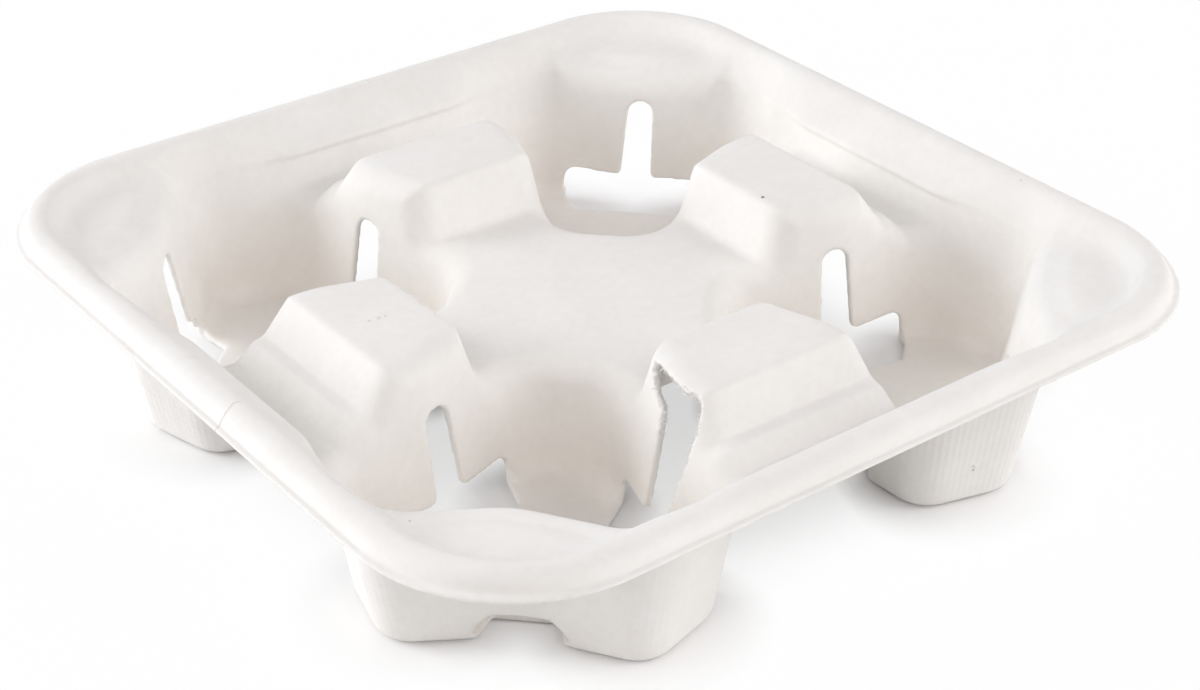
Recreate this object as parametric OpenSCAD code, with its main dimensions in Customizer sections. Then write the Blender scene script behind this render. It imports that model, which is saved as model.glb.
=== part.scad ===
// Four-cup carrier tray, moulded in one piece from white paper pulp.
// The upper skin and the lower skin are one form, a wall apart. The form is a
// rolled rim round a sunken deck, with four stepped humps, four corner shelves
// and four three-lobed cup wells. Three bowed walls in each well grip the cup,
// and an inverted T slot lets each of them flex. One slot is torn open.

/* [Tray] */
// Outside length of each side
side = 215; // [208:1:230]
// Outside radius of the corners, seen from above
corner_r = 37; // [32:1:42]
// Height from the feet to the crest of the rim
height = 45; // [44:0.5:50]
// Thickness of the pulp
wall = 1.8; // [1.2:0.1:2.4]

/* [Rim] */
// Width of the flat lip outside the bead
lip_w = 0.8; // [0.4:0.1:2]
// Radius of the rolled bead, over its top
bead_r = 4.2; // [3.4:0.1:5]
// Steepness of the band inside the bead, from level
band_angle = 43; // [38:1:48]
// Depth of the foot of that band below the crest
band_drop = 8.8; // [7.5:0.1:10]
// Steepness of the wall below the band, from level
rim_wall_angle = 76; // [70:1:80]

/* [Deck] */
// Height of the centre plateau and of the grooves behind the humps
deck_z = 28.3; // [26:0.1:30]
// Depth of the corner shelves below the crest
shelf_drop = 5.1; // [4.4:0.1:6.5]
// Length of the corner shelves, across the corner
shelf_w = 48; // [44:1:52]

/* [Humps] */
// Height of the hump tops
hump_z = 42.4; // [40:0.1:44]
// Distance from the tray's centre to the inner foot of a hump
hump_in = 42; // [40:0.5:44]
// Width of the inner slope of a hump, seen from above
hump_in_run = 4; // [3:0.5:6]
// Width of the flat top, from inner edge to outer edge
hump_top_w = 22.5; // [20:0.5:24]
// Height of the step in the outer slope
step_z = 33.6; // [32:0.1:35]
// Width of the outer slope above the step, seen from above
step_run = 6.2; // [5:0.1:7.5]
// Width of the step
step_w = 2.8; // [2:0.1:3.5]
// Width of the outer slope below the step, seen from above
foot_run = 4.4; // [3:0.1:5]
// Rounding of the creases along a hump
hump_round = 2.2; // [1:0.1:2.6]

/* [Wells] */
// Distance of each cup's axis from the tray's two centre lines
well_at = 51; // [50:0.5:54]
// Distance from the cup's axis to the middle of a gripping wall, at the floor
grip_r = 23.3; // [21:0.1:24]
// Radius of the bow of a gripping wall
bow_r = 31; // [26:1:34]
// Distance from the cup's axis to the end of a lobe, at the floor
lobe_l = 37.8; // [36:0.1:39]
// The same for the lobe that points to the middle of the tray
inner_l = 33.9; // [32:0.1:38]
// Width of a lobe at its end, at the floor
lobe_w = 28; // [24:1:30]
// Radius of the two upright corners of a lobe
lobe_r = 6; // [4:0.5:8]
// Draft of the well walls, from upright
draft = 9.5; // [8:0.1:11]
// Rounding between wall and floor, inside the well
floor_r = 4; // [3:0.5:6]
// Rounding of the bottom edge of the feet, outside
foot_r = 2; // [1:0.2:4]
// Rounding of the mouth of the well
mouth_r = 5.5; // [4:0.5:7]

/* [Slots] */
// Width of the upright stem of a slot at its top
stem_top_w = 6.8; // [5:0.2:8]
// Width of the stem at the crossbar
stem_w = 8.4; // [6:0.2:10]
// Height of the top of the stem
stem_top = 30.4; // [24:0.2:32]
// Length of the crossbar at the foot of a slot
bar_l = 40; // [34:1:42]
// Height of the top of the crossbar
bar_top = 9; // [8:0.1:11]
// Radius of the upper corners of the crossbar
bar_r = 4; // [2:0.1:5]
// How far a slot's notch runs into the floor from the gripping wall
notch_l = 5; // [2:0.2:6]
// Width of a notch at the gripping wall
notch_w = 24; // [16:1:28]
// Width of a notch at its inner end
notch_end_w = 14; // [8:1:16]
// Which of the twelve slots have a notch as wide as the crossbar
wide_slots = [0, 8, 10];
// Which slot was pressed askew
askew_slot = 0; // [0:1:11]
// How far that slot is turned in its wall
askew = 3; // [0:0.5:5]

/* [Tear] */
// Which of the twelve slots is torn open, counted by wells and then walls
torn_slot = 7; // [0:1:11]
// How far the tear widens the slot on the rim's side, from the stem's middle
tear_w = 11.2; // [9:0.1:13]
// How far the finger of the tear runs on the other side of the stem
tear_finger = 9.6; // [7:0.1:11]
// Depth of the top of the tear below the hump top
tear_drop = 2.75; // [2.2:0.1:6]
// Length of the torn slot's crossbar on the side away from the rim
torn_bar_l = 14; // [10:0.5:18]

/* [Hidden] */
// How far the level feet of a hump lie in the deck, so that the two cross
tuck = 0.05;
// Points of the lofted faces are rounded to this step
grid = 0.1;
// Depth of the two solid forms below the feet, where nothing of them stays
sink = 20;
// How far the cutters reach above the rim
reach = 20;
arc_steps = 3;
lower_steps = 2;
bead_steps = 3;
corner_steps = 6;
bow_steps = 4;
side_steps = 2;
slot_fn = 8;
hump_fn = 12;
half = side / 2;
shelf_z = height - shelf_drop;
lean = tan(draft);
lobe_turn = 60;
well_turn = 120;
// Direction from the cup's axis to the corner of the tray
corner_dir = 45;

function unit(v) = v / norm(v);
function polar(r, a) = [r * cos(a), r * sin(a)];
function lerp(a, b, t) = a + (b - a) * t;

// Points of the round that replaces corner b of a path from a to c
function round_corner(a, b, c, r) =
    let (
        u = unit(a - b),
        v = unit(c - b),
        bend = acos(u * v) / 2,
        mid = b + unit(u + v) * r / sin(bend),
        start = b + u * r / tan(bend) - mid,
        end = b + v * r / tan(bend) - mid
    )
    [for (i = [0:arc_steps]) mid + r * unit(lerp(start, end, i / arc_steps))];

// Rim section
// Every section point is [distance in from the lip's edge, height].
bead_z = height - bead_r;
bead_in = lip_w + bead_r;
band_top = [bead_in + bead_r * sin(band_angle), bead_z + bead_r * cos(band_angle)];
band_foot_z = height - band_drop;
band_foot = [band_top.x + (band_top.y - band_foot_z) / tan(band_angle), band_foot_z];
rim_foot = [band_foot.x + (band_foot_z - deck_z) / tan(rim_wall_angle), deck_z];
rim_section = concat(
    [[0, bead_z]],
    [for (i = [0:bead_steps])
        let (a = i * 90 / bead_steps)
        [bead_in - bead_r * cos(a), bead_z + bead_r * sin(a)]],
    [for (i = [1:arc_steps])
        let (a = i * band_angle / arc_steps)
        [bead_in + bead_r * sin(a), bead_z + bead_r * cos(a)]],
    round_corner(band_top, band_foot, rim_foot, mouth_r),
    round_corner(band_foot, rim_foot, rim_foot + [hump_round * 4, 0], hump_round)
);

// The same section a distance w below, along each point's own normal
function skin(path, w) =
    [for (i = [0:len(path) - 1])
        let (
            along = unit(path[min(i + 1, len(path) - 1)] - path[max(i - 1, 0)])
        )
        path[i] + w * [along.y, -along.x]];

// Height of the band's slope, carried on at the same steepness, at inset d
function band_z(d) = band_top.y - (d - band_top.x) * tan(band_angle);

// Inset of a point of the plan from the lip's rounded edge
function inset(p) =
    let (
        q = [abs(p.x) - half + corner_r, abs(p.y) - half + corner_r],
        beyond = norm([max(q.x, 0), max(q.y, 0)])
    )
    corner_r - beyond - min(max(q.x, q.y), 0);

// Hump section, as [distance from the tray's centre, height]
hump_top_in = hump_in + hump_in_run;
hump_top_out = hump_top_in + hump_top_w;
step_in = hump_top_out + step_run;
step_out = step_in + step_w;
hump_out = step_out + foot_run;
hump_section = [
    [hump_in, deck_z],
    [hump_top_in, hump_z],
    [hump_top_out, hump_z],
    [step_in, step_z],
    [step_out, step_z - step_w / 4],
    [hump_out, deck_z]
];
// Half the length of a hump before the wells cut its ends
hump_half = well_at - grip_r + 3;

// Height of the upper skin round the mouths of the wells
function top_z(p) =
    let (
        u = min(abs(p.x), abs(p.y)),
        v = max(abs(p.x), abs(p.y)),
        across = (v - u) / sqrt(2),
        out = (v + u) / sqrt(2),
        on_hump = u < hump_half && v > hump_in && v < hump_out,
        on_shelf = across < shelf_w / 2 && out > well_at * sqrt(2)
    )
    max(
        deck_z,
        band_z(max(inset(p), band_top.x)),
        on_hump ? lookup(v, hump_section) : 0,
        on_shelf ? shelf_z : 0
    );

// Plan of a well at its floor, as [point, outward direction] from the cup's axis.
// A lobe's corner and the bow beside it touch one straight wall, whose outward
// direction is turn.
bow_mid = polar(grip_r + bow_r, lobe_turn);
function half_lobe(length) =
    let (
        corner_mid = [length - lobe_r, lobe_w / 2 - lobe_r],
        mids = bow_mid - corner_mid,
        turn = atan2(mids.y, mids.x) - acos((bow_r + lobe_r) / norm(mids)),
        corner_end = corner_mid + polar(lobe_r, turn),
        bow_start = bow_mid - polar(bow_r, turn)
    )
    concat(
        [[[length, 0], 0]],
        [for (i = [0:arc_steps])
            let (a = turn * i / arc_steps)
            [corner_mid + polar(lobe_r, a), a]],
        [for (i = [1:side_steps - 1])
            [lerp(corner_end, bow_start, i / side_steps), turn]],
        [for (i = [0:bow_steps / 2])
            let (a = lerp(turn, lobe_turn, i / (bow_steps / 2)))
            [bow_mid - polar(bow_r, a), a]]
    );
// The other half mirrors it, without the two points on the mirror lines
function lobe_plan(length) =
    let (h = half_lobe(length))
    concat(
        [for (i = [len(h) - 2:-1:1]) [[h[i][0].x, -h[i][0].y], -h[i][1]]],
        h
    );
function turned(p, a) = [p.x * cos(a) - p.y * sin(a), p.x * sin(a) + p.y * cos(a)];
lobe_lengths = [lobe_l, inner_l, lobe_l];
well_plan = [for (k = [0:2], p = lobe_plan(lobe_lengths[k]))
    let (a = corner_dir + lobe_turn + k * well_turn)
    [turned(p[0], a), polar(1, p[1] + a)]];

// Where the straight wall of a well, carried up, meets the upper skin.
// Each pass puts the wall's offset at the height found before it.
function mouth_z(p, dir, z, passes = 6) =
    passes == 0 ? z : mouth_z(p, dir, top_z(well_mid + p + dir * wall_out(z)), passes - 1);
function wall_out(z) = lean * (z - wall);
well_mid = [well_at, well_at];

// Steepness of the upper skin just outside the mouth
slope_run = 3;
function mouth_slope(p, dir, z) =
    let (rise = top_z(well_mid + p + dir * (wall_out(z) + slope_run)) - z)
    max(0, min(band_angle, atan(rise / slope_run)));

// Path of one point of the plan from floor to mouth, as [way out, height],
// on the skin that lies w below the upper one
// The mouth's round stops this many degrees short of the skin that it runs into
mouth_rest = 11;
mouth_run = 3;
function well_path(p, dir, w) =
    let (
        z = mouth_z(p, dir, hump_z),
        slope = mouth_slope(p, dir, z),
        steep = 90 - draft,
        back = mouth_r * tan((steep - slope) / 2),
        mid = [wall_out(z), z] - polar(back, steep) - polar(mouth_r, steep + 90),
        last = slope + mouth_rest,
        end = mid + polar(mouth_r - w, last + 90) + polar(mouth_run, last),
        steps = w > 0 ? lower_steps : arc_steps,
        r = w > 0 ? foot_r : floor_r,
        corner = [w / cos(draft) - w * lean, wall - w],
        turn = corner + [-r * tan(steep / 2), r]
    )
    concat(
        [for (i = [0:steps])
            turn + polar(r, lerp(-90, -draft, i / steps))],
        [for (i = [0:steps])
            mid + polar(mouth_r - w, lerp(steep, last, i / steps) + 90)],
        [end, [end.x, height + reach]]
    );

// Solid between rings of points, each ring running anticlockwise from above
module loft(rings) {
    n = len(rings[0]);
    rows = len(rings);
    sides = [for (k = [0:rows - 2], i = [0:n - 1])
        let (
            a = k * n + i,
            b = k * n + (i + 1) % n
        )
        each [[a, a + n, b + n], [a, b + n, b]]];
    floor_face = [for (i = [0:n - 1]) i];
    roof_face = [for (i = [n - 1:-1:0]) (rows - 1) * n + i];
    points = [for (r = rings, p = r) [for (c = p) round(c / grid) * grid]];
    polyhedron(points, concat(sides, [floor_face, roof_face]));
}

// Rounded square at an inset from the lip's edge
function square_ring(d, z) =
    [for (q = [0:3], i = [0:corner_steps])
        let (
            a = 90 * (q + i / corner_steps),
            mid = turned([half - corner_r, half - corner_r], 90 * q)
        )
        concat(mid + polar(corner_r - d, a), z)];

// Rim and sunken deck
module dish(w) {
    section = skin(rim_section, w);
    // The lower skin runs out past the lip, so that the lip gets a clean edge
    edge = w > 0 ? [-1, section[0].y] : section[0];
    path = concat(
        [[edge.x, -sink - w], edge],
        [for (i = [1:len(section) - 1]) section[i]]
    );
    loft([for (p = path) square_ring(p.x, p.y)]);
}

// One stepped hump, on the side that +Y points to
module hump(w) {
    run = hump_round * 3;
    level = deck_z - tuck;
    inner = [for (i = [1:len(hump_section) - 2]) hump_section[i]];
    section = concat(
        [[hump_in - run, -sink], [hump_in - run, level], [hump_in, level]],
        inner,
        [[hump_out, level], [hump_out + hump_round, level], [hump_out + hump_round, -sink]]
    );
    rotate([90, 0, 90])
        linear_extrude(2 * hump_half, center = true)
            offset(delta = -w)
                offset(r = hump_round, $fn = hump_fn)
                    offset(r = -2 * hump_round, $fn = hump_fn)
                        offset(r = hump_round, $fn = hump_fn)
                            polygon(section);
}

// Flat shelf behind the corner wall of a well
module shelf(w) {
    translate([0, 0, -sink])
        linear_extrude(shelf_z + sink - w)
            intersection() {
                polygon([for (p = square_ring(band_top.x, 0)) [p.x, p.y]]);
                rotate(corner_dir)
                    translate([well_at * sqrt(2), -shelf_w / 2])
                        square([half, shelf_w]);
            }
}

// The space of one well
module well(w) {
    paths = [for (p = well_plan) well_path(p[0], p[1], w)];
    translate(well_mid)
        loft([for (k = [0:len(paths[0]) - 1])
            [for (i = [0:len(paths) - 1])
                concat(well_plan[i][0] + well_plan[i][1] * paths[i][k].x, paths[i][k].y)]]);
}

// Everything below one skin of the tray, w below the upper one
module form(w) {
    difference() {
        union() {
            dish(w);
            for (q = [0:3]) {
                rotate(90 * q) hump(w);
                rotate(90 * q) shelf(w);
            }
        }
        for (q = [0:3])
            rotate(90 * q) well(w);
    }
}

// Slots are drawn in the frame of their gripping wall: the cup's axis at the
// origin, the wall towards +X, and +Y along it.
slot_start = grip_r - notch_l - 1;
slot_reach = grip_r + lean * height + wall + 2 - slot_start;
// The crossbar leaves this much of the floor's round standing
ledge = 0.3;
module rod(r, y, z) {
    translate([slot_start, y, z])
        rotate([0, 90, 0])
            cylinder(h = slot_reach, r = r, $fn = slot_fn);
}
// Crossbar with its two arms' lengths given
module crossbar(arm, other_arm) {
    low = wall + ledge;
    hull()
        for (y = [-arm, other_arm - 2 * bar_r]) {
            rod(bar_r, y + bar_r, bar_top - bar_r);
            translate([slot_start, y, low])
                cube([slot_reach, 2 * bar_r, bar_top - bar_r - low]);
        }
}
module stem() {
    hull() {
        rod(stem_top_w / 2, 0, stem_top - stem_top_w / 2);
        rod(stem_w / 2, 0, bar_top);
    }
}
module notch(w, end_w) {
    foot = grip_r + wall;
    translate([0, 0, -1])
        linear_extrude(wall + bar_top / 2)
            polygon([
                [grip_r - notch_l, -end_w / 2],
                [foot, -w / 2],
                [foot + bow_r / 2, -w / 2],
                [foot + bow_r / 2, w / 2],
                [foot, w / 2],
                [grip_r - notch_l, end_w / 2]
            ]);
}

// Torn opening in place of a stem: the pulp is ripped away towards the rim and
// up to the rounded end of the hump, and a thin finger runs on past the middle.
module tear() {
    top = hump_z - tear_drop;
    low = bar_top - bar_r;
    ragged = [
        [-tear_w * 0.62, low],
        [-tear_w * 0.7, lerp(bar_top, top, 0.13)],
        [-tear_w * 0.94, lerp(bar_top, top, 0.6)],
        [-tear_w, top - 4.7],
        [-tear_w * 0.85, top - 1],
        [-tear_w * 0.72, top + 0.6],
        [-tear_w * 0.33, top],
        [0, top + 0.1],
        [tear_finger * 0.34, top + 0.3],
        [tear_finger * 0.68, top + 0.7],
        [tear_finger * 0.8, top + 0.9],
        [tear_finger, top + 0.9],
        [tear_finger * 0.96, top - 1.1],
        [tear_finger * 0.62, top - 4.2],
        [tear_finger * 0.06, top - 6.3],
        [0, lerp(bar_top, top, 0.45)],
        [0, low]
    ];
    translate([slot_start, 0, 0])
        rotate([90, 0, 90])
            linear_extrude(slot_reach + 4)
                polygon(ragged);
}

// The opening in one gripping wall, without its notch
module opening(slot) {
    if (slot == torn_slot) {
        crossbar(bar_l / 2, torn_bar_l);
        tear();
    } else {
        crossbar(bar_l / 2, bar_l / 2);
        stem();
    }
}

module slots() {
    for (q = [0:3], k = [0:2]) {
        slot = 3 * q + k;
        wide = len(search(slot, wide_slots)) > 0;
        plain_w = slot == torn_slot ? 2 * torn_bar_l : notch_w;
        rotate(90 * q)
            translate(well_mid)
                rotate(corner_dir + k * well_turn) {
                    translate([0, 0, bar_top / 2])
                        rotate([slot == askew_slot ? askew : 0, 0, 0])
                            translate([0, 0, -bar_top / 2])
                                opening(slot);
                    notch(
                        wide ? bar_l - 1 : plain_w,
                        wide ? bar_l - 2 * bar_r - 2 : notch_end_w
                    );
                }
    }
}

module tray() {
    color("#f1efea")
        difference() {
            form(0);
            form(wall);
            slots();
        }
}

tray();
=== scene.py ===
import math

import bpy
import numpy as np
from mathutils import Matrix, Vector


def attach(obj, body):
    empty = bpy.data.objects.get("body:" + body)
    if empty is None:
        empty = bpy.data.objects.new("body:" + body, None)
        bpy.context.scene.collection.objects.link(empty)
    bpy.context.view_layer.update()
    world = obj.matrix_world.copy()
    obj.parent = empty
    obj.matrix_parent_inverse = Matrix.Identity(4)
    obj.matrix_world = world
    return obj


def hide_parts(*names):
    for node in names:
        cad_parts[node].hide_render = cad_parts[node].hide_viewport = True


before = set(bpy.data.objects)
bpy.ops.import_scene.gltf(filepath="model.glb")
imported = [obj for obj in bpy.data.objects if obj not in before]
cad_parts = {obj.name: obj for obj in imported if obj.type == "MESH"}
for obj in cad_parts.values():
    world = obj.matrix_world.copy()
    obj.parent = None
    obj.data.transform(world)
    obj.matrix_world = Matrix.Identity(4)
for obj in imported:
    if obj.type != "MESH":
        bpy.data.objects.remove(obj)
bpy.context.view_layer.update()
scene = bpy.context.scene

# Sizes in millimetres. Most are as in the part's source, and the rest follow the photograph more closely.

SIDE, CORNER_R, HEIGHT, WALL = 215.0, 37.0, 45.0, 1.8
LIP_W, BEAD_R, BAND_ANGLE, BAND_DROP, RIM_WALL_ANGLE = 1.7, 4.2, 43.0, 8.8, 86.0
UNDERCUT, UNDERCUT_H, EDGE_T, RIM_ROUND = 1.3, 1.7, 1.1, (1.0, 1.2, 4.0)
DECK_Z, SHELF_DROP, SHELF_W, SHELF_SLOPE, SHELF_BLEND = 28.3, 5.1, 48.0, 0.45, 2.0
GROOVE, GROOVE_OUT, GROOVE_HALF_L, GROOVE_HALF_W, GROOVE_SHARP = 0.8, 118.5, 10.0, 21.0, 5.0
HUMP_Z, HUMP_IN, HUMP_IN_RUN, HUMP_TOP_W = 42.4, 42.0, 4.0, 22.5
STEP_Z, STEP_RUN, STEP_W, FOOT_RUN = 33.6, 6.2, 2.8, 4.4
HUMP_ROUND = (2.5, 1.9, 1.9, 0.8, 1.0, 1.2)
WELL_AT, GRIP_R, CORNER_GRIP_R, FRONT_GRIP_R, BOW_R = 51.0, 23.3, 25.2, 23.6, 31.0
LOBE_L, LOBE_W, INNER_L, INNER_W, LOBE_R = 37.8, 26.5, 35.0, 22.0, 7.0
DRAFT, FLOOR_R, FOOT_R, MOUTH_R, CORNER_MOUTH_R = 9.5, 4.0, 2.0, 5.5, 9.0
STEM_TOP_W, STEM_W, STEM_TOP = 6.8, 8.4, 30.4
BAR_L, BAR_TOP, BAR_R, LEDGE = 40.0, 9.0, 4.0, 0.3
NOTCH_L, NOTCH_W, NOTCH_END_W = 5.0, 24.0, 14.0
ASKEW = 3.0
SHORT_ARM, LEFT_ARM, RIGHT_STEM_TOP = 12.0, 9.0, 18.0
FRONT_ARM, FRONT_TOP_W, FRONT_TOP_DROP, BRIDGE = 10.5, 13.0, 1.5, 5.0
SLOT_ROUND, SLOT_EDGE_R = 1.5, 0.4
TEAR_W, TEAR_FINGER, TEAR_DROP, TORN_BAR_L = 11.2, 9.6, 2.75, 14.0
# Gripping walls that differ from the rest, as (side of x, side of y, direction)
WIDE_WALLS = ((1, 1, 45), (-1, -1, 105), (1, -1, 75))
ASKEW_WALL = (1, 1, 45)
TORN_WALL = (-1, -1, -15)
SHORT_WALLS = ((-1, 1, 15), (1, -1, -165))
LEFT_WALL = (-1, 1, 135)
RIGHT_WALL = (1, -1, -45)
FRONT_WALL = (-1, -1, -135)

HALF = SIDE / 2
SHELF_Z = HEIGHT - SHELF_DROP
LEAN = math.tan(math.radians(DRAFT))
MM = 0.001
FLOOR_Z = -0.0002
GRID = 0.6
MOST_TRIANGLES = 190000
RELAX_ROUNDS = 2


# Sections and plans as polylines

def polar(r, a):
    return np.array([r * math.cos(math.radians(a)), r * math.sin(math.radians(a))])


def rounded(path, radius):
    """The path with each inner corner replaced by an arc; radius is one number or one per corner."""
    path = [np.array(p, float) for p in path]
    radii = np.broadcast_to(radius, len(path) - 2)
    out = [path[0]]
    for a, b, c, r in zip(path, path[1:], path[2:], radii):
        u, v = (a - b) / np.linalg.norm(a - b), (c - b) / np.linalg.norm(c - b)
        bend = math.acos(float(np.clip(u @ v, -1, 1))) / 2
        reach = min(r / math.tan(bend), 0.49 * np.linalg.norm(a - b), 0.49 * np.linalg.norm(c - b))
        r = reach * math.tan(bend)
        mid = b + (u + v) / np.linalg.norm(u + v) * r / math.sin(bend)
        s, e = b + u * reach - mid, b + v * reach - mid
        for i in range(9):
            d = s + (e - s) * i / 8
            out.append(mid + d / np.linalg.norm(d) * r)
    out.append(path[-1])
    return np.array(out)


def polygon_distance(px, py, poly):
    """Signed distance from points to a closed polygon, negative inside."""
    shape = px.shape
    px, py = px.ravel(), py.ravel()
    best = np.full(px.shape, 1e9)
    inside = np.zeros(px.shape, bool)
    for (ax, ay), (bx, by) in zip(poly, np.roll(poly, -1, axis=0)):
        ex, ey = bx - ax, by - ay
        wx, wy = px - ax, py - ay
        t = np.clip((wx * ex + wy * ey) / max(ex * ex + ey * ey, 1e-12), 0, 1)
        best = np.minimum(best, (wx - t * ex) ** 2 + (wy - t * ey) ** 2)
        if ay != by:
            inside ^= ((ay > py) != (by > py)) & (px < ex * (py - ay) / ey + ax)
    d = np.sqrt(best)
    return np.where(inside, -d, d).reshape(shape)


def rim_section():
    bead_z, bead_in = HEIGHT - BEAD_R, LIP_W + BEAD_R
    a = math.radians(BAND_ANGLE)
    top = np.array([bead_in + BEAD_R * math.sin(a), bead_z + BEAD_R * math.cos(a)])
    foot_z = HEIGHT - BAND_DROP
    band_foot = np.array([top[0] + (top[1] - foot_z) / math.tan(a), foot_z])
    rim_foot = np.array([band_foot[0] + (foot_z - DECK_Z) / math.tan(math.radians(RIM_WALL_ANGLE)), DECK_Z])
    bead = [
        (bead_in - BEAD_R * math.cos(t), bead_z + BEAD_R * math.sin(t))
        for t in np.linspace(0, math.pi / 2 + a, 28)
    ]
    under = band_foot - (UNDERCUT, UNDERCUT_H)
    lower = rounded([bead[-1], band_foot, under, rim_foot, (70.0, DECK_Z)], RIM_ROUND)
    outside = [(-14.0, -30.0), (-14.0, bead_z), (LIP_W - 0.4, bead_z)]
    return np.vstack([outside, bead, lower[1:], [(70.0, -30.0)]])


def hump_section():
    top_in = HUMP_IN + HUMP_IN_RUN
    top_out = top_in + HUMP_TOP_W
    step_in = top_out + STEP_RUN
    step_out = step_in + STEP_W
    out = step_out + FOOT_RUN
    path = [
        (10.0, DECK_Z),
        (HUMP_IN, DECK_Z),
        (top_in, HUMP_Z),
        (top_out, HUMP_Z),
        (step_in, STEP_Z),
        (step_out, STEP_Z - STEP_W / 4),
        (out, DECK_Z),
        (100.0, DECK_Z),
    ]
    return np.vstack([[(10.0, -30.0)], rounded(path, HUMP_ROUND), [(100.0, -30.0)]])


def half_lobe(length, width, grip):
    bow_mid = polar(grip + BOW_R, 60)
    corner_mid = np.array([length - LOBE_R, width / 2 - LOBE_R])
    mids = bow_mid - corner_mid
    turn = math.degrees(math.atan2(mids[1], mids[0])) - math.degrees(
        math.acos((BOW_R + LOBE_R) / np.linalg.norm(mids))
    )
    corner = [corner_mid + polar(LOBE_R, a) for a in np.linspace(0, turn, 10)]
    return corner + [bow_mid - polar(BOW_R, a) for a in np.linspace(turn, 60, 8)]


def well_plan(corner_grip):
    """Outline of one three-lobed well at its floor, about the cup's axis."""
    out = []
    sides = (
        (LOBE_L, LOBE_W, corner_grip, GRIP_R),
        (INNER_L, INNER_W, GRIP_R, GRIP_R),
        (LOBE_L, LOBE_W, GRIP_R, corner_grip),
    )
    for k, (length, width, before, after) in enumerate(sides):
        lobe = [p * (1, -1) for p in half_lobe(length, width, before)[-2::-1]] + half_lobe(length, width, after)
        a = math.radians(105 + 120 * k)
        c, s = math.cos(a), math.sin(a)
        out += [(x * c - y * s, x * s + y * c) for x, y in lobe]
    return np.array(out)


# Distance fields. Negative is inside the pulp, or inside the space that is cut from it.

def both(a, b, r):
    """Intersection with a round edge."""
    return np.minimum(-r, np.maximum(a, b)) + np.hypot(np.maximum(r + a, 0), np.maximum(r + b, 0))


def either(a, b, r):
    """Union with a round inner corner."""
    return np.maximum(r, np.minimum(a, b)) - np.hypot(np.maximum(r - a, 0), np.maximum(r - b, 0))


def from_table(table, first, step, at):
    """Columns of a section's table, read at a distance per column of the grid."""
    f = np.clip((at - first) / step, 0, table.shape[0] - 1.001)
    i = f.astype(np.int32)
    w = (f - i)[..., None].astype(np.float32)
    return table[i] * (1 - w) + table[i + 1] * w


def inset(x, y):
    qx, qy = np.abs(x) - HALF + CORNER_R, np.abs(y) - HALF + CORNER_R
    return CORNER_R - np.hypot(np.maximum(qx, 0), np.maximum(qy, 0)) - np.minimum(np.maximum(qx, qy), 0)


def shell(xs, ys, zs):
    """Distance to the pulp between the upper skin and the lower one, over the whole grid."""
    x, y = np.meshgrid(xs, ys, indexing="ij")
    z = zs[None, None, :].astype(np.float32)
    step = 0.1

    at = np.arange(-12.0, 66.0, step)
    d2, z2 = np.meshgrid(at, zs, indexing="ij")
    form = from_table(polygon_distance(d2, z2, rim_section()).astype(np.float32), at[0], step, inset(x, y))

    # Corner shelves with sloped ends, each with a shallow groove round its oval flat
    ax, ay = np.abs(x), np.abs(y)
    across, out = np.abs(ax - ay) / math.sqrt(2), (ax + ay) / math.sqrt(2)
    sides = across.astype(np.float32)[..., None] - SHELF_W / 2 - SHELF_SLOPE * (SHELF_Z - z)
    ends = (WELL_AT * math.sqrt(2) - out).astype(np.float32)[..., None]
    oval = np.hypot(across / GROOVE_HALF_W, (out - GROOVE_OUT) / GROOVE_HALF_L)
    groove = GROOVE * np.exp(-(((oval - 1) * GROOVE_SHARP) ** 2))
    top = z - SHELF_Z + groove.astype(np.float32)[..., None]
    form = either(form, np.maximum(top, np.maximum(0.9 * sides, ends)), SHELF_BLEND)

    # Stepped humps
    at = np.arange(12.0, 98.0, step)
    v2, z2 = np.meshgrid(at, zs, indexing="ij")
    table = polygon_distance(v2, z2, hump_section()).astype(np.float32)
    for u, v in ((x, ay), (y, ax)):
        ends = np.maximum(np.abs(u) - (WELL_AT - GRIP_R + 3), 12.1 - v).astype(np.float32)
        form = np.minimum(form, np.maximum(from_table(table, at[0], step, v), ends[..., None]))

    # Cup wells
    front = (x < 0) & (y < 0)
    wells = [polygon_distance(ax - WELL_AT, ay - WELL_AT, well_plan(g)) for g in (FRONT_GRIP_R, CORNER_GRIP_R)]
    plan = np.where(front, *wells).astype(np.float32)
    wall = (plan[..., None] - LEAN * (z - WALL)) * math.cos(math.radians(DRAFT))
    level = np.broadcast_to(z, wall.shape)
    # The mouth is rounder at three of the corner shelves
    corner = ~front * np.clip((out - 90.0) / 10.0, 0, 1) * np.clip((32.0 - across) / 12.0, 0, 1)
    mouth = (MOUTH_R + (CORNER_MOUTH_R - MOUTH_R) * corner).astype(np.float32)[..., None]
    upper = both(form, -both(wall, WALL - level, FLOOR_R), mouth)
    lower = both(form + WALL, -both(wall - WALL, -level, FOOT_R), mouth - WALL)
    return np.maximum(upper, -lower)


def tear_outline():
    """The torn wall's opening as seen along the wall's direction."""
    top, low = HUMP_Z - TEAR_DROP, BAR_TOP - BAR_R

    def up(share):
        return BAR_TOP + (top - BAR_TOP) * share

    return np.array(
        [
            (-TEAR_W * 0.62, low),
            (-TEAR_W * 0.70, up(0.13)),
            (-TEAR_W * 0.80, up(0.36)),
            (-TEAR_W * 0.94, up(0.60)),
            (-TEAR_W, top - 4.7),
            (-TEAR_W * 0.85, top - 1.0),
            (-TEAR_W * 0.72, top + 0.1),
            (TEAR_FINGER * 0.80, top + 0.3),
            (TEAR_FINGER, top + 0.2),
            (TEAR_FINGER * 0.96, top - 1.1),
            (TEAR_FINGER * 0.62, top - 4.2),
            (TEAR_FINGER * 0.06, top - 6.3),
            (0.0, up(0.45)),
            (0.0, low),
        ]
    )


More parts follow.
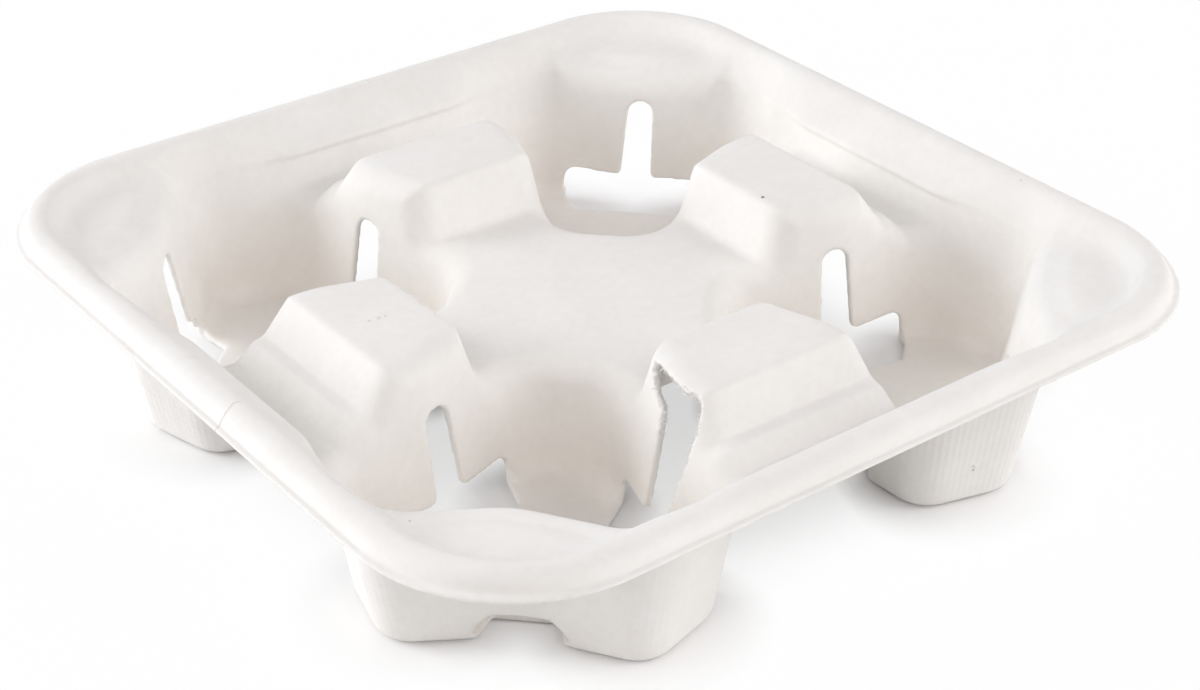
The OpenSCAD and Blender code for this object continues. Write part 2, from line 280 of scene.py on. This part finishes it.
def tear_cut(r, t, z):
    """Space of the tear: its outline along the wall's direction, and the torn edge above it in plan."""
    edge = np.interp(
        t,
        (-TEAR_W, -TEAR_W * 0.82, -TEAR_W * 0.66, -TEAR_W * 0.38, 0.0, TEAR_FINGER),
        np.array((8.2, 9.9, 10.0, 8.6, 8.0, 7.7)) + GRIP_R,
    )
    ends = np.maximum(-TEAR_W * 0.98 - t, t - TEAR_FINGER)
    above = np.maximum(np.maximum(r - edge, ends), HUMP_Z - TEAR_DROP - 2 - z)
    waves = ((0.11, 2.3 * t + 1.1 * z), (0.09, 4.1 * z - 1.7 * r), (0.06, 6.7 * t + 3.0 * z))
    ragged = sum(height * np.sin(phase) for height, phase in waves)
    depth = np.interp(t, (-TEAR_W * 0.9, -TEAR_W * 0.6), (0.1, 1.0))
    wall = np.maximum(polygon_distance(t, z, tear_outline()), r - edge - depth)
    return np.minimum(wall, above) + ragged


def bar_outline(arm, other_arm):
    low = WALL + LEDGE
    return rounded([(-arm, low), (-arm, BAR_TOP), (other_arm, BAR_TOP), (other_arm, low)], BAR_R)


def front_outline():
    """The front corner's crossbar is a low arch."""
    low, top = WALL + LEDGE, BAR_TOP - FRONT_TOP_DROP
    return np.array([(-FRONT_ARM, low), (-FRONT_TOP_W / 2, top), (FRONT_TOP_W / 2, top), (FRONT_ARM, low)])


def stem_outline(foot, top):
    r = STEM_TOP_W / 2
    arc = [np.array((0, top - r)) + polar(r, a) for a in np.linspace(0, 180, 17)]
    return np.array(arc + [(-STEM_W / 2, foot), (STEM_W / 2, foot)])


def notch_outline(width, end_width, grip):
    inner, foot = grip - NOTCH_L, grip + WALL
    half = [(inner, end_width / 2), (foot, width / 2), (foot + BOW_R / 2, width / 2)]
    return np.array(half + [(r, -t) for r, t in half[::-1]])


def cut_slots(field, xs, ys, zs):
    start = GRIP_R - NOTCH_L - 1
    end = GRIP_R + LEAN * HEIGHT + WALL + 6
    for sx in (-1, 1):
        for sy in (-1, 1):
            for k in range(3):
                # Directions of the gripping walls, mirrored from the well in the (+, +) corner
                d = polar(1.0, 45 + 120 * k) * (sx, sy)
                name = (sx, sy, round(math.degrees(math.atan2(d[1], d[0]))))
                grip = GRIP_R if k else FRONT_GRIP_R if name == FRONT_WALL else CORNER_GRIP_R
                mid = np.array([sx * WELL_AT, sy * WELL_AT])
                side = np.array([-d[1], d[0]])
                ends = np.array([mid + d * r + side * t for r in (start, end) for t in (-22, 22)])
                i0, i1 = np.searchsorted(xs, (ends[:, 0].min() - 2, ends[:, 0].max() + 2))
                j0, j1 = np.searchsorted(ys, (ends[:, 1].min() - 2, ends[:, 1].max() + 2))
                x, y, z = np.meshgrid(xs[i0:i1] - mid[0], ys[j0:j1] - mid[1], zs, indexing="ij")
                r, t = x * d[0] + y * d[1], x * side[0] + y * side[1]
                turn = math.radians(ASKEW if name == ASKEW_WALL else 0.0)
                up = z - BAR_TOP / 2
                t2 = t * math.cos(turn) + up * math.sin(turn)
                z2 = up * math.cos(turn) - t * math.sin(turn) + BAR_TOP / 2
                if name == TORN_WALL:
                    bar = polygon_distance(t2, z2, bar_outline(BAR_L / 2, TORN_BAR_L))
                    stem = tear_cut(r, t2, z2)
                elif name == FRONT_WALL:
                    bar = polygon_distance(t2, z2, front_outline())
                    stem = polygon_distance(t2, z2, stem_outline(BAR_TOP + BRIDGE, STEM_TOP))
                else:
                    arm = LEFT_ARM if name == LEFT_WALL else BAR_L / 2
                    other_arm = SHORT_ARM if name in SHORT_WALLS else BAR_L / 2
                    top = RIGHT_STEM_TOP if name == RIGHT_WALL else STEM_TOP
                    bar = polygon_distance(t2, z2, bar_outline(arm, other_arm))
                    stem = polygon_distance(t2, z2, stem_outline(BAR_TOP - 1, top))
                if name in WIDE_WALLS:
                    plan = notch_outline(BAR_L - 1, BAR_L - 2 * BAR_R - 2, grip)
                else:
                    width = {TORN_WALL: 2 * TORN_BAR_L, FRONT_WALL: 2 * FRONT_ARM - 3}.get(name, NOTCH_W)
                    plan = notch_outline(width, NOTCH_END_W, grip)
                depth = np.abs(r - (start + end) / 2) - (end - start) / 2
                cut = np.maximum(either(bar, stem, SLOT_ROUND), depth)
                notch = np.maximum(polygon_distance(r, t, plan), z - (WALL + BAR_TOP / 2 - 1))
                block = field[i0:i1, j0:j1]
                field[i0:i1, j0:j1] = both(block, -np.minimum(cut, notch), SLOT_EDGE_R)
    return field


def surface(field, xs, ys, zs):
    """Quads over the zero level of a field, one vertex in each cell that the level crosses."""
    n = np.array(field.shape)
    inner = field < 0
    count = np.zeros(n - 1, np.int8)
    corners = [(i, j, k) for i in (0, 1) for j in (0, 1) for k in (0, 1)]
    for i, j, k in corners:
        count += inner[i:n[0] - 1 + i, j:n[1] - 1 + j, k:n[2] - 1 + k]
    ci, cj, ck = np.nonzero((count > 0) & (count < 8))
    index = np.full(n - 1, -1, np.int32)
    index[ci, cj, ck] = np.arange(len(ci))
    total, hits = np.zeros((len(ci), 3)), np.zeros(len(ci))
    for a in corners:
        for axis in range(3):
            if a[axis]:
                continue
            b = list(a)
            b[axis] = 1
            va = field[ci + a[0], cj + a[1], ck + a[2]]
            vb = field[ci + b[0], cj + b[1], ck + b[2]]
            cross = (va < 0) != (vb < 0)
            p = np.tile(np.array(a, float), (len(ci), 1))
            p[cross, axis] = (va / np.where(cross, va - vb, 1))[cross]
            total[cross] += p[cross]
            hits += cross
    step = xs[1] - xs[0]
    points = np.stack([xs[ci], ys[cj], zs[ck]], 1) + total / hits[:, None] * step
    quads = []
    for axis in range(3):
        lo = [slice(1, -1)] * 3
        hi = [slice(1, -1)] * 3
        lo[axis], hi[axis] = slice(0, -1), slice(1, None)
        a, b = inner[tuple(lo)], inner[tuple(hi)]
        at = np.stack(np.nonzero(a != b), 1)
        goes_out = a[tuple(at.T)]
        base = at + 1
        base[:, axis] -= 1
        u, v = [k for k in ((1, 2), (2, 0), (0, 1))[axis]]
        ring = []
        for du, dv in ((-1, -1), (0, -1), (0, 0), (-1, 0)):
            c = base.copy()
            c[:, u] += du
            c[:, v] += dv
            ring.append(index[tuple(c.T)])
        ring = np.stack(ring, 1)
        quads.append(np.where(goes_out[:, None], ring, ring[:, ::-1]))
    return points, np.vstack(quads)


def relax(points, quads, rounds):
    """Points moved half-way to the mean of their neighbours, to take the grid's steps out."""
    for _ in range(rounds):
        total, hits = np.zeros_like(points), np.zeros(len(points))
        for k in range(4):
            a, b = quads[:, k], quads[:, (k + 1) % 4]
            for i, j in ((a, b), (b, a)):
                hits += np.bincount(i, minlength=len(points))
                for c in range(3):
                    total[:, c] += np.bincount(i, points[j, c], len(points))
        points = points / 2 + total / hits[:, None] / 2
    return points


def axis_points(low, high):
    return low + GRID * np.arange(int(math.ceil((high - low) / GRID)) + 1)


def tray_mesh():
    xs = axis_points(-HALF - 2.13, HALF + 2)
    ys = axis_points(-HALF - 2.13, HALF + 2)
    zs = axis_points(-2.37, HEIGHT + 2)
    pulp = shell(xs, ys, zs)
    x, y = np.meshgrid(xs, ys, indexing="ij")
    rim = inset(x, y).astype(np.float32)[..., None]
    field = both(pulp, -rim + 0 * pulp, 0.3)
    # The free edge under the bead is pressed thinner than the wall
    edge_z = HEIGHT - BEAD_R - EDGE_T
    field = np.maximum(field, np.minimum(edge_z - zs[None, None, :], 4.0 - rim))
    field = cut_slots(field, xs, ys, zs)
    points, quads = surface(field, xs, ys, zs)
    return relax(points, quads, RELAX_ROUNDS), quads


def fibre_mesh(points):
    """Short thin fibres that stand on the tear's cut edge, in metres."""
    rng = np.random.default_rng(7)
    sx, sy, direction = TORN_WALL
    mid = np.array([sx * WELL_AT, sy * WELL_AT])
    d = polar(1.0, direction)
    side = np.array([-d[1], d[0]])

    def cut(p):
        x, y = p[:, 0] - mid[0], p[:, 1] - mid[1]
        return tear_cut(x * d[0] + y * d[1], x * side[0] + y * side[1], p[:, 2])

    near = np.linalg.norm(points[:, :2] - (mid + d * 29), axis=1) < 15
    spots = points[near & (points[:, 2] > 26)]
    spots = spots[np.abs(cut(spots)) < 0.3]
    spots = spots[rng.permutation(len(spots))[:460]]
    h = 0.2
    slope = np.stack([cut(spots + h * e) - cut(spots - h * e) for e in np.eye(3)], 1)
    slope /= np.maximum(np.linalg.norm(slope, axis=1, keepdims=True), 1e-6)
    verts, faces = [], []
    for p, g in zip(spots, slope):
        length = rng.uniform(0.4, 1.4)
        path = [p + 0.2 * g]
        way = -g * 0.7 + rng.normal(0, 0.6, 3)
        for i in range(3):
            way = way / np.linalg.norm(way) + rng.normal(0, 0.3, 3)
            path.append(path[-1] + way / np.linalg.norm(way) * length / 3)
        first = len(verts)
        u = np.cross(way, (0.3, 0.2, 0.9))
        u /= np.linalg.norm(u)
        v = np.cross(way, u)
        v /= np.linalg.norm(v)
        for i, q in enumerate(path):
            r = 0.12 - 0.03 * i
            verts += [q + r * (u * math.cos(a) + v * math.sin(a)) for a in (0.0, 2.094, 4.189)]
        for i in range(3):
            for k in range(3):
                a, b = first + 3 * i + k, first + 3 * i + (k + 1) % 3
                faces.append((a, b, b + 3, a + 3))
        last = first + 9
        faces += [(first + 2, first + 1, first), (last, last + 1, last + 2)]
    return np.array(verts) * MM, faces


def mesh_object(name, points, faces):
    mesh = bpy.data.meshes.new(name)
    mesh.from_pydata(points, [], faces)
    mesh.validate()
    obj = bpy.data.objects.new(name, mesh)
    scene.collection.objects.link(obj)
    return obj


# Materials

class Nodes:
    """Short calls that add shader nodes to one material."""

    def __init__(self, name):
        self.mat = bpy.data.materials.new(name)
        self.mat.use_nodes = True
        self.tree = self.mat.node_tree
        self.tree.nodes.clear()

    def add(self, kind, values=None, **settings):
        node = self.tree.nodes.new(kind)
        for key, value in settings.items():
            setattr(node, key, value)
        for key, value in (values or {}).items():
            if isinstance(value, bpy.types.NodeSocket):
                self.tree.links.new(value, node.inputs[key])
            else:
                node.inputs[key].default_value = value
        return node

    def math(self, op, a, b=0.0, clamp=False):
        return self.add("ShaderNodeMath", {0: a, 1: b}, operation=op, use_clamp=clamp).outputs[0]

    def noise(self, at, scale, detail=3.0, rough=0.55):
        return self.add(
            "ShaderNodeTexNoise", {"Vector": at, "Scale": scale, "Detail": detail, "Roughness": rough}
        ).outputs["Fac"]

    def remap(self, value, a, b, c=0.0, d=1.0):
        return self.add(
            "ShaderNodeMapRange",
            {"Value": value, "From Min": a, "From Max": b, "To Min": c, "To Max": d},
            interpolation_type="SMOOTHSTEP",
        ).outputs[0]

    def near(self, at, place, inner, outer):
        """1 within the inner distance of a place given in millimetres, 0 past the outer one."""
        spot = tuple(c * MM for c in place)
        d = self.add("ShaderNodeVectorMath", {0: at, 1: spot}, operation="DISTANCE").outputs["Value"]
        return self.remap(d, inner * MM, outer * MM, 1.0, 0.0)

    def vector(self, op, a, b, out="Vector"):
        return self.add("ShaderNodeVectorMath", {0: a, 1: b}, operation=op).outputs[out]

    def tint(self, factor, colour, by):
        values = {0: factor, 6: colour, 7: by}
        return self.add("ShaderNodeMix", values, data_type="RGBA", blend_type="MULTIPLY").outputs[2]

    def most(self, values):
        out = values[0]
        for v in values[1:]:
            out = self.math("MAXIMUM", out, v)
        return out

    def bump(self, height, distance, strength=1.0, normal=None):
        values = {"Height": height, "Distance": distance, "Strength": strength}
        if normal is not None:
            values["Normal"] = normal
        return self.add("ShaderNodeBump", values).outputs[0]


def pulp_material():
    m = Nodes("white_pulp")
    at = m.add("ShaderNodeTexCoord").outputs["Object"]
    x, y, z = m.add("ShaderNodeSeparateXYZ", {0: at}).outputs
    nx, ny, nz = m.add("ShaderNodeSeparateXYZ", {0: m.add("ShaderNodeNewGeometry").outputs["Normal"]}).outputs

    # Which way a face looks about its cup's axis: out on the feet, in on the wells' walls
    px = m.math("SUBTRACT", m.math("ABSOLUTE", x), WELL_AT * MM)
    py = m.math("SUBTRACT", m.math("ABSOLUTE", y), WELL_AT * MM)
    looks_x = m.math("MULTIPLY", px, m.math("MULTIPLY", nx, m.math("SIGN", x)))
    looks_y = m.math("MULTIPLY", py, m.math("MULTIPLY", ny, m.math("SIGN", y)))
    looks = m.math("ADD", looks_x, looks_y)
    foot = m.math("MULTIPLY", m.remap(looks, 0.004, 0.014), m.remap(z, 0.036, 0.039, 1.0, 0.0))
    # Mask of painted warm shade: faces looking in on the wells' walls, stronger towards the bottom
    well_painted_shade = m.math("MULTIPLY", m.remap(looks, -0.002, 0.004, 1.0, 0.0), m.remap(z, 0.006, 0.036, 1.0, 0.0))

    # Colour: clouded pulp, with painted warm shade down in the wells
    cloud = m.noise(at, 55.0, 3.0)
    fine = m.noise(at, 420.0, 4.0)
    tone = m.math("ADD", m.math("MULTIPLY", cloud, 0.6), m.math("MULTIPLY", fine, 0.4))
    ramp = m.add("ShaderNodeValToRGB", {"Fac": tone})
    ramp.color_ramp.elements[0].position = 0.32
    ramp.color_ramp.elements[0].color = (0.835, 0.818, 0.795, 1)
    ramp.color_ramp.elements[1].position = 0.66
    ramp.color_ramp.elements[1].color = (0.885, 0.872, 0.852, 1)
    colour = m.tint(well_painted_shade, ramp.outputs["Color"], (1.0, 0.975, 0.947, 1))

    # Specks in the pulp, a crack across the near-left rim and a fainter one on the far-left rim
    specks = [
        m.math("MULTIPLY", m.near(at, place, size * 0.4, size), depth)
        for place, size, depth in (
            ((-92.4, -66.0, 39.9), 0.55, 0.75),
            ((-71.8, -83.2, 39.9), 0.50, 0.22),
            ((47.4, -8.9, 42.2), 0.60, 0.85),
            ((40.2, -90.5, 9.6), 0.50, 0.35),
            ((100.3, -43.5, 44.3), 0.70, 0.16),
        )
    ]
    sway = m.math("MULTIPLY", m.math("SUBTRACT", m.noise(at, 260.0, 2.0), 0.5), 0.0022)
    off = m.math("ABSOLUTE", m.math("ADD", m.math("ADD", y, 0.0161), sway))
    on_rim = m.math("MULTIPLY", m.remap(x, -0.1012, -0.1003, 1.0, 0.0), m.remap(z, 0.0385, 0.0395))
    crack = m.math("MULTIPLY", m.remap(off, 0.0001, 0.0003, 1.0, 0.0), on_rim)
    off = m.math("ABSOLUTE", m.math("ADD", m.math("SUBTRACT", x, 0.0043), sway))
    on_rim = m.math("MULTIPLY", m.remap(y, 0.0995, 0.1005), m.remap(z, 0.0385, 0.0395))
    far_crack = m.math("MULTIPLY", m.remap(off, 0.0001, 0.0003, 1.0, 0.0), on_rim)
    marks = specks + [m.math("MULTIPLY", crack, 0.22), m.math("MULTIPLY", far_crack, 0.1)]
    colour = m.tint(m.most(marks), colour, (0.16, 0.14, 0.12, 1))

    # Pulp grain, coarser on the rim and where the wall is torn
    grain = m.noise(at, 900.0, 4.0, 0.6)
    lumps = m.noise(at, 210.0, 2.0)
    rough = m.math("ADD", m.remap(z, 0.0385, 0.0425, 0.25, 0.55), m.near(at, (-19.5, -70.5, 38.0), 3.0, 7.0))
    n = m.bump(m.math("MULTIPLY", lumps, rough), 0.0003, 0.5)
    n = m.bump(m.math("MULTIPLY", grain, rough), 0.00022, 0.5, n)

    # Ridges that the mould's screen leaves down the outside of the feet
    turn = m.math("ARCTAN2", py, px)
    down = m.math("SINE", m.math("MULTIPLY", turn, 160.0))
    level = m.math("MULTIPLY", m.math("SINE", m.math("MULTIPLY", z, 5200.0)), 0.6)
    patchy = m.math("MULTIPLY", foot, m.remap(m.noise(at, 22.0, 2.0), 0.36, 0.58, 0.25, 1.0))
    n = m.bump(m.math("MULTIPLY", m.math("ADD", down, level), patchy), 0.00006, 0.5, n)

    # Pimples, and pits under the specks and cracks
    pimples = [
        m.near(at, place, 0.0, size)
        for place, size in (
            ((-68.8, -90.9, 39.9), 1.1),
            ((-58.1, -0.9, 42.4), 1.0),
            ((-60.4, -0.8, 42.4), 0.7),
            ((-56.4, -1.1, 42.4), 0.7),
            ((40.4, -90.7, 10.9), 1.0),
        )
    ]
    lines = m.math("MULTIPLY", m.most([crack, far_crack]), 0.2)
    dots = m.math("SUBTRACT", m.most(pimples), m.most(specks + [lines]))
    n = m.bump(dots, 0.00045, 0.7, n)

    shader = m.add(
        "ShaderNodeBsdfPrincipled",
        {"Base Color": colour, "Roughness": 0.9, "Specular IOR Level": 0.2, "Normal": n},
    )
    m.add("ShaderNodeOutputMaterial", {"Surface": shader.outputs[0]})
    return m.mat


def floor_material():
    m = Nodes("floor_paper")
    at = m.add("ShaderNodeTexCoord").outputs["Object"]
    tone = m.noise(at, 6.0, 2.0)
    ramp = m.add("ShaderNodeValToRGB", {"Fac": tone})
    ramp.color_ramp.elements[0].color = (0.9, 0.9, 0.9, 1)
    ramp.color_ramp.elements[1].color = (0.92, 0.92, 0.92, 1)
    paper = m.add("ShaderNodeBsdfDiffuse", {"Color": ramp.outputs["Color"]})
    # White to the camera away from the feet, and plain paper with its shadow beside them
    x, y, z = m.add("ShaderNodeSeparateXYZ", {0: at}).outputs
    spot = {0: m.math("ABSOLUTE", x), 1: m.math("ABSOLUTE", y), 2: 0.0}
    axis = (WELL_AT * MM, WELL_AT * MM, 0.0)
    from_axis = m.vector("SUBTRACT", m.add("ShaderNodeCombineXYZ", spot).outputs[0], axis)
    gaps = []
    for length, turn in ((LOBE_L, 105), (INNER_L, 225), (LOBE_L, 345)):
        arm = (*(polar(length - LOBE_W / 2, turn) * MM), 0.0)
        along = m.vector("DOT_PRODUCT", from_axis, arm, "Value")
        along = m.math("MULTIPLY", along, 1 / ((length - LOBE_W / 2) * MM) ** 2, clamp=True)
        near = m.add("ShaderNodeVectorMath", {0: arm, "Scale": along}, operation="SCALE").outputs[0]
        gaps.append(m.vector("DISTANCE", from_axis, near, "Value"))
    gap = m.math("MINIMUM", m.math("MINIMUM", gaps[0], gaps[1]), gaps[2])
    out = m.math("MAXIMUM", m.math("ABSOLUTE", x), m.math("ABSOLUTE", y))
    beside_feet = m.remap(gap, 0.0135, 0.0330, 0.0, 0.97)
    under_tray = m.remap(out, 0.062, 0.092, 0.6, 0.97)
    share = m.math("MINIMUM", beside_feet, under_tray)
    path = m.add("ShaderNodeLightPath").outputs["Is Camera Ray"]
    white = m.add("ShaderNodeEmission", {"Color": (1, 1, 1, 1), "Strength": 1.0})
    seen = m.math("MULTIPLY", path, share)
    mix = m.add("ShaderNodeMixShader", {0: seen, 1: paper.outputs[0], 2: white.outputs[0]})
    m.add("ShaderNodeOutputMaterial", {"Surface": mix.outputs[0]})
    return m.mat


# Tray

points, quads = tray_mesh()
tray = mesh_object("pulp_tray", points * MM, quads)
triangles = 2 * len(quads)
if triangles > MOST_TRIANGLES:
    thin = tray.modifiers.new("thin", "DECIMATE")
    thin.ratio = MOST_TRIANGLES / triangles
    made = bpy.data.meshes.new_from_object(tray.evaluated_get(bpy.context.evaluated_depsgraph_get()))
    tray.modifiers.clear()
    tray.data = made
# The feet stand flat on the floor
places = np.zeros(3 * len(tray.data.vertices), np.float32)
tray.data.vertices.foreach_get("co", places)
places[2::3] = np.maximum(places[2::3], 0.0)
tray.data.vertices.foreach_set("co", places)
tray.data.update()
tray.data.polygons.foreach_set("use_smooth", np.ones(len(tray.data.polygons), bool))
tray.data.materials.clear()
tray.data.materials.append(pulp_material())
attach(tray, "root")
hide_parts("tray")

# Loose fibres on the torn edge

fibres = mesh_object("torn_fibres", *fibre_mesh(points))
fibres.data.materials.append(tray.data.materials[0])
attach(fibres, "root")

# Floor

corners = [(x, y, FLOOR_Z) for x, y in ((-4, -4), (4, -4), (4, 4), (-4, 4))]
floor = mesh_object("floor", corners, [(0, 1, 2, 3)])
floor.data.materials.append(floor_material())

# Camera, solved from the photograph's rim, feet and slots

cam = bpy.data.objects.new("camera", bpy.data.cameras.new("camera"))
cam.location = (-0.28070, -0.37243, 0.29616)
cam.rotation_euler = (math.radians(58.79), 0, math.radians(-37.44))
cam.data.sensor_width = 36
cam.data.sensor_fit = "HORIZONTAL"
cam.data.lens = 67.98
scene.collection.objects.link(cam)
scene.camera = cam

# Light

def soft_light(name, turn, rise, watts, colour):
    """A round soft box 1.4 m from the tray; turn runs anticlockwise from the -Y side, in degrees."""
    a, e = math.radians(turn), math.radians(rise)
    at = 1.4 * Vector((math.sin(a) * math.cos(e), -math.cos(a) * math.cos(e), math.sin(e)))
    lamp = bpy.data.lights.new(name, "AREA")
    lamp.shape = "DISK"
    lamp.size = 0.9
    lamp.energy = watts
    lamp.color = colour
    obj = bpy.data.objects.new(name, lamp)
    obj.location = at
    obj.rotation_euler = (Vector((0, 0, 0.02)) - at).to_track_quat("-Z", "Y").to_euler()
    scene.collection.objects.link(obj)


soft_light("key_left_low", 225, 20, 14.0, (0.94, 0.965, 1.0))
soft_light("key_left_high", 225, 45, 2.8, (1.0, 0.985, 0.971))
soft_light("right_low", 45, 20, 5.4, (0.988, 1.0, 0.984))
soft_light("right_high", 45, 45, 5.2, (0.987, 0.972, 1.0))
soft_light("front_left", 315, 45, 4.3, (1.0, 0.955, 0.944))
soft_light("front_low", 0, 20, 2.4, (1.0, 0.95, 0.92))
soft_light("side_left", 270, 20, 1.8, (1.0, 0.937, 0.888))
soft_light("side_right", 90, 20, 2.2, (1.0, 0.92, 0.963))
soft_light("back_low", 135, 20, 2.6, (1.0, 0.98, 0.98))

world = bpy.data.worlds.new("studio")
scene.world = world
world.use_nodes = True
world.node_tree.nodes.clear()
sky = world.node_tree.nodes.new("ShaderNodeBackground")
sky.inputs["Color"].default_value = (1, 1, 1, 1)
sky.inputs["Strength"].default_value = 0.14
out = world.node_tree.nodes.new("ShaderNodeOutputWorld")
world.node_tree.links.new(sky.outputs[0], out.inputs[0])

scene.view_settings.view_transform = "Standard"
